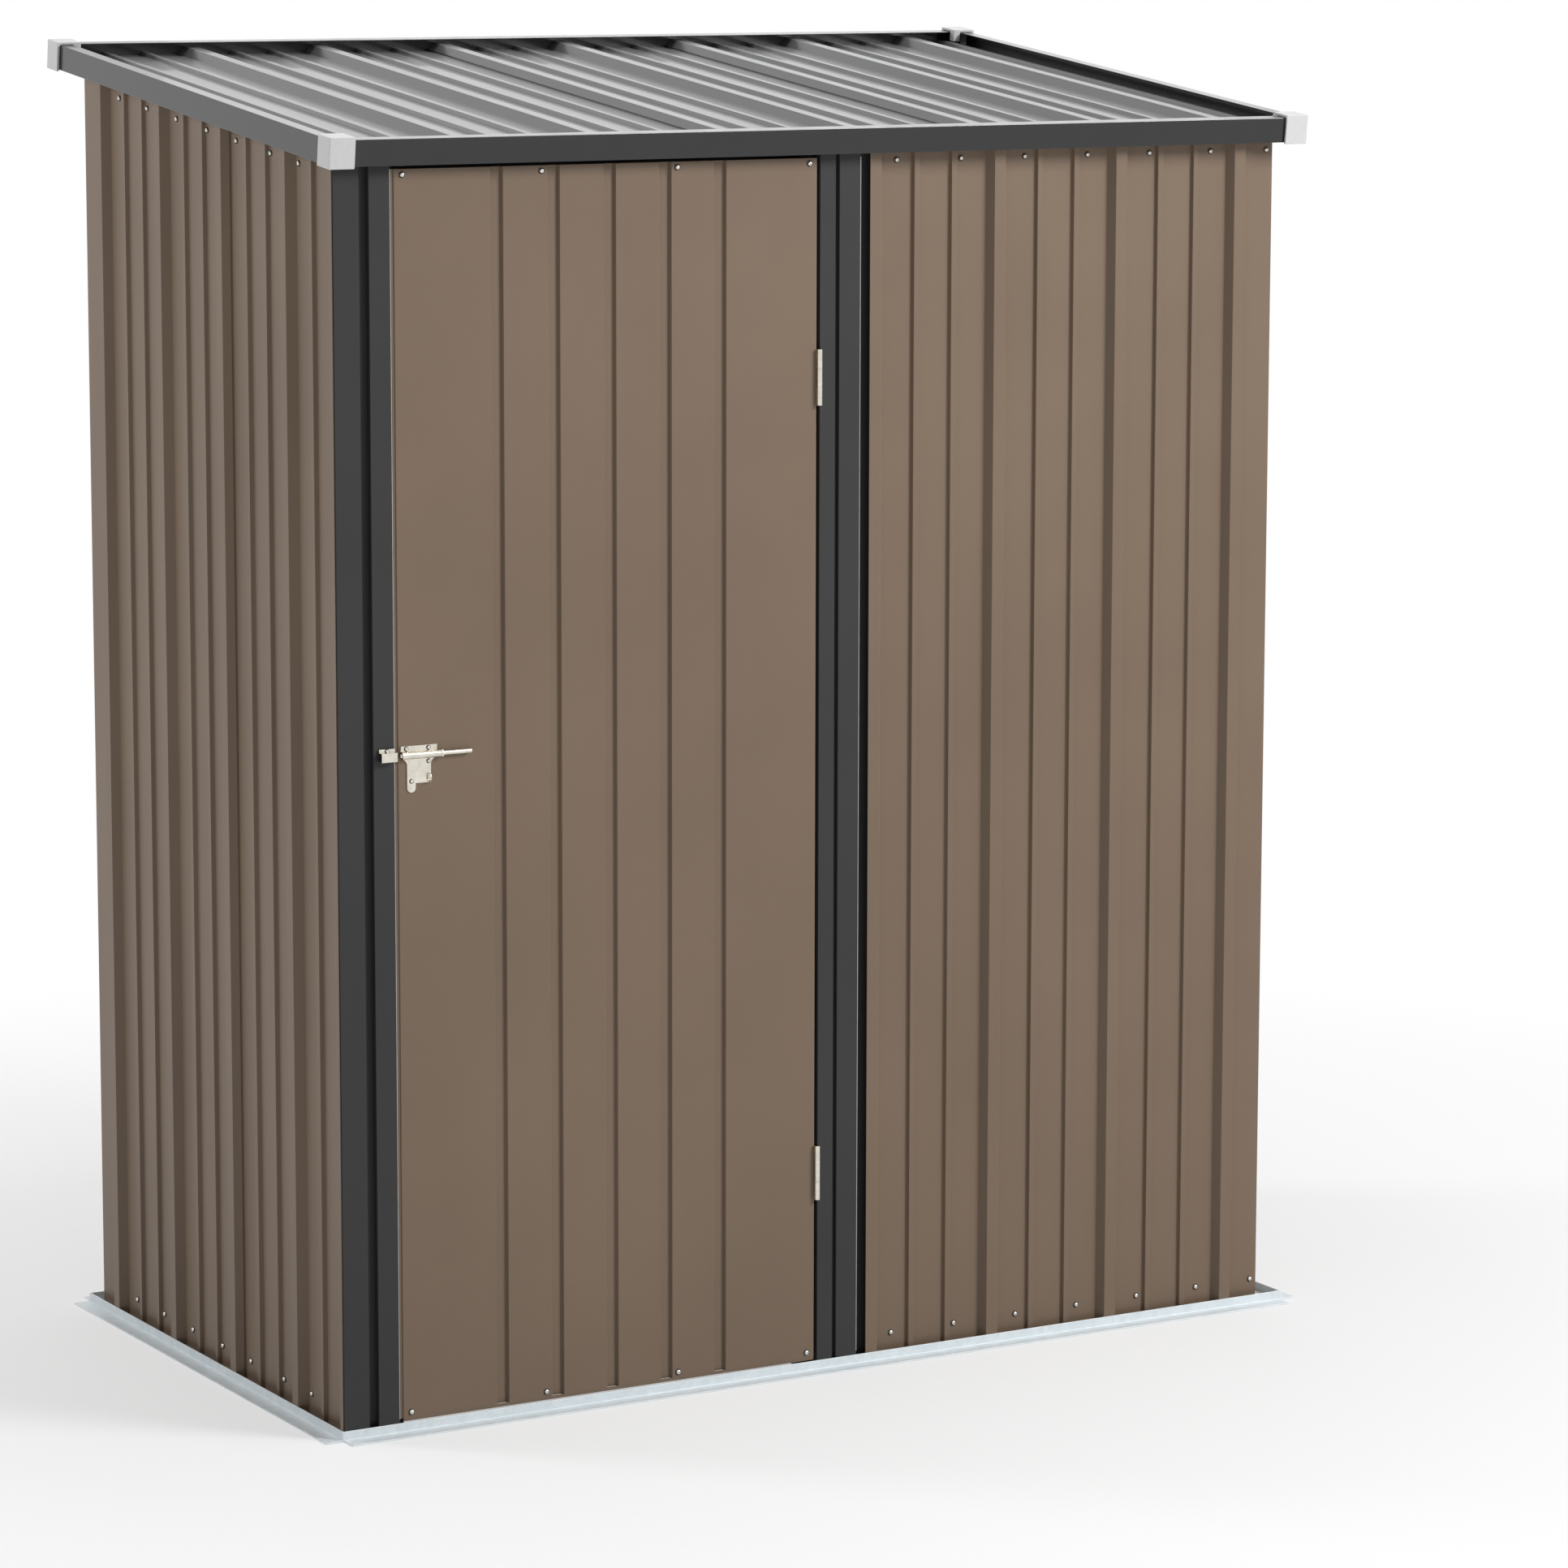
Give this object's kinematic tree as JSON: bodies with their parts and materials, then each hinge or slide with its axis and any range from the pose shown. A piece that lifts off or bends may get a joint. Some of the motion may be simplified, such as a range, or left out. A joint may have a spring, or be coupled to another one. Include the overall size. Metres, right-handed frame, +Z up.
{
  "type": "metal tool shed",
  "caption": "Lean-to metal tool shed with ribbed sheet walls and roof, a galvanised base frame, folded posts and a hinged door with a slide bolt.",
  "frame": {"origin": "on the ground, in the middle of the shed's length and depth", "axes": "+X along the front to the right as seen from in front, +Y from the door to the back, +Z up"},
  "size_m": [1.568, 0.9228, 1.8288],
  "materials": {
    "brown_sheet": "satin brown paint on ribbed steel sheet",
    "anthracite_frame": "satin anthracite paint on folded steel",
    "roof_sheet": "gloss grey paint on ribbed steel sheet",
    "galvanised": "bare galvanised steel",
    "nickel_hardware": "nickel plated steel",
    "cap_plastic": "light grey moulded plastic"
  },
  "bodies": {
    "shed": {"base_rail_front": "galvanised", "base_rail_back": "galvanised", "base_rail_left": "galvanised", "base_rail_right": "galvanised", "corner_post_front_left": "anthracite_frame", "corner_post_front_right": "anthracite_frame", "corner_post_back_left": "anthracite_frame", "corner_post_back_right": "anthracite_frame", "door_post": "anthracite_frame", "door_head": "anthracite_frame", "top_rail_front": "anthracite_frame", "top_rail_back": "anthracite_frame", "top_rail_left": "anthracite_frame", "top_rail_right": "anthracite_frame", "front_wall_panel": "brown_sheet", "left_wall_panel_front": "brown_sheet", "left_wall_panel_back": "brown_sheet", "right_wall_panel_front": "brown_sheet", "right_wall_panel_back": "brown_sheet", "back_wall_panel_left": "brown_sheet", "back_wall_panel_middle": "brown_sheet", "back_wall_panel_right": "brown_sheet", "hinge_upper_post_leaf": "nickel_hardware", "hinge_lower_post_leaf": "nickel_hardware", "latch_keeper": "nickel_hardware", "roof_fascia_front": "anthracite_frame", "roof_fascia_back": "anthracite_frame", "roof_fascia_left": "anthracite_frame", "roof_fascia_right": "anthracite_frame", "roof_cap_front_left": "cap_plastic", "roof_cap_front_right": "cap_plastic", "roof_cap_back_left": "cap_plastic", "roof_cap_back_right": "cap_plastic", "roof_sheet_left": "roof_sheet", "roof_sheet_middle": "roof_sheet", "roof_sheet_right": "roof_sheet"},
    "door": {"door_skin": "brown_sheet", "door_top_rail": "brown_sheet", "door_bottom_rail": "brown_sheet", "hinge_upper_door_leaf": "nickel_hardware", "hinge_lower_door_leaf": "nickel_hardware", "latch_plate": "nickel_hardware"},
    "bolt": {"latch_bolt": "nickel_hardware"}
  },
  "joints": [
    {"name": "door_hinge", "type": "hinge", "parent": "shed", "child": "door", "pos_m": [-0.03005, -0.4299, 0.88], "axis": [0, 0, 1], "range_deg": [0, 110]},
    {"name": "bolt_slide", "type": "slide", "parent": "door", "child": "bolt", "axis": [-1, 0, 0], "range_m": [0, 0.027]}
  ]
}
